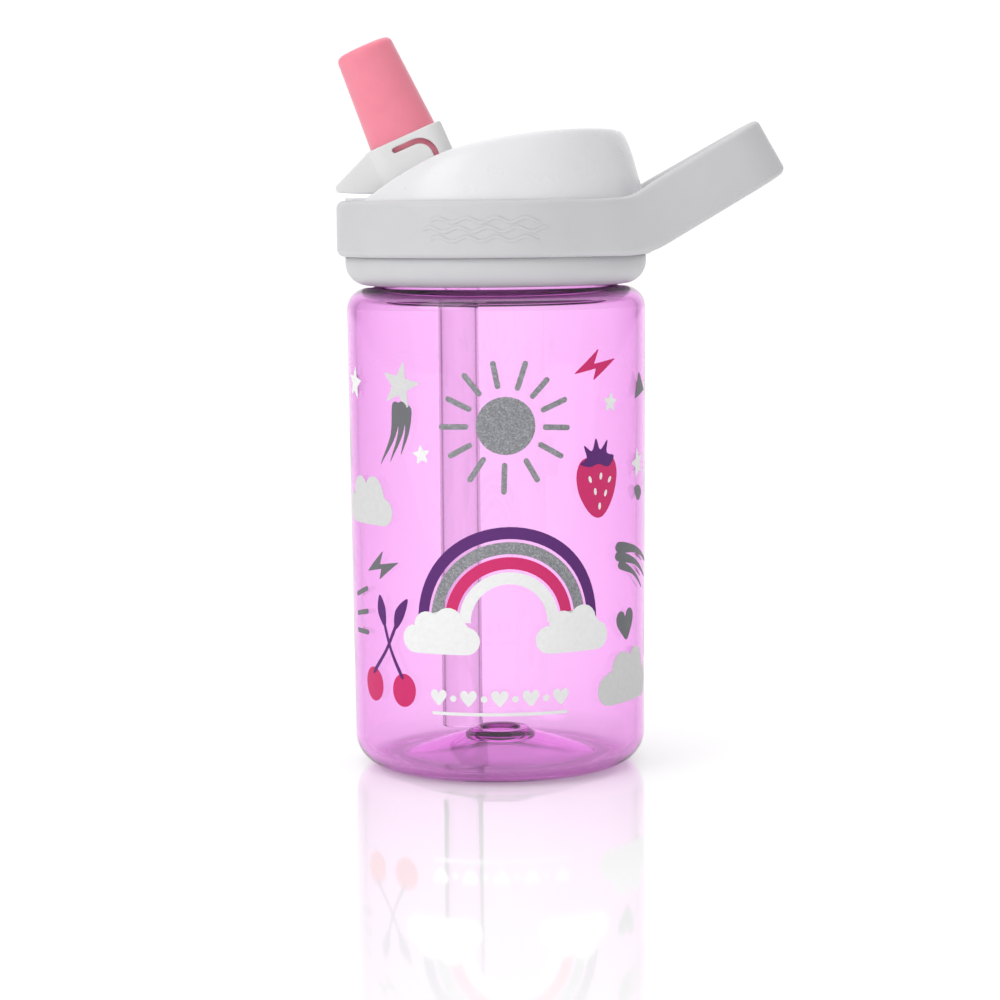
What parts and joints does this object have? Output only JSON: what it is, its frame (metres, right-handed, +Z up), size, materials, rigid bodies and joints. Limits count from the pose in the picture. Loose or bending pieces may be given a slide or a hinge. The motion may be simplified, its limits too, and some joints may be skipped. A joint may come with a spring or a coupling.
{
  "type": "kids water bottle",
  "caption": "Clear printed drinking bottle with a screw lid, rigid carry loop, domed cover, flip-up spout with a soft bite valve, and a straw",
  "frame": {"origin": "centre of the ring on the base that the bottle stands on, on the axis of the body", "axes": "+Z up along the body, spout towards -X, carry loop towards +X, spout hinge along Y; lid closed and spout raised"},
  "size_m": [0.1106, 0.0788, 0.18],
  "materials": {
    "clear_body": "clear violet moulded copolyester, glossy, with a printed pattern in ink on the outside",
    "clear_straw": "clear extruded plastic tube, slightly frosted",
    "lid_satin": "light grey-white moulded plastic with a fine satin grain",
    "lid_gloss": "white moulded plastic, smooth and semi-gloss",
    "spout_plastic": "white moulded plastic with a fine spark-eroded grain",
    "valve_silicone": "soft translucent pink silicone, satin",
    "seal_silicone": "soft milky silicone"
  },
  "bodies": {
    "bottle": {"bottle_body": "clear_body"},
    "seal": {"lid_gasket": "seal_silicone"},
    "lid": {"lid_base": "lid_satin", "handle_ring": "lid_satin", "dome_shell": "lid_gloss", "port_seal": "seal_silicone", "vent_valve": "seal_silicone", "straw_adapter": "lid_satin", "straw": "clear_straw", "hinge_pins": "lid_satin"},
    "spout": {"spout_core": "lid_satin", "spout_stem": "spout_plastic", "bite_valve": "valve_silicone"}
  },
  "joints": [
    {"name": "lid_rise", "type": "slide", "parent": "bottle", "child": "seal", "axis": [0, 0, 1], "range_m": [0, 0.00751]},
    {"name": "lid_turn", "type": "hinge", "parent": "seal", "child": "lid", "pos_m": [0, 0, 0.1345], "axis": [0, 0, 1], "range_deg": [0, 450]},
    {"name": "spout_flip", "type": "hinge", "parent": "lid", "child": "spout", "pos_m": [-0.015, 0, 0.1425], "axis": [0, 1, 0], "range_deg": [0, 110]}
  ],
  "couplings": [
    {"joint": "lid_rise", "follows": "lid_turn", "m_per_rad": 0.00095493}
  ]
}
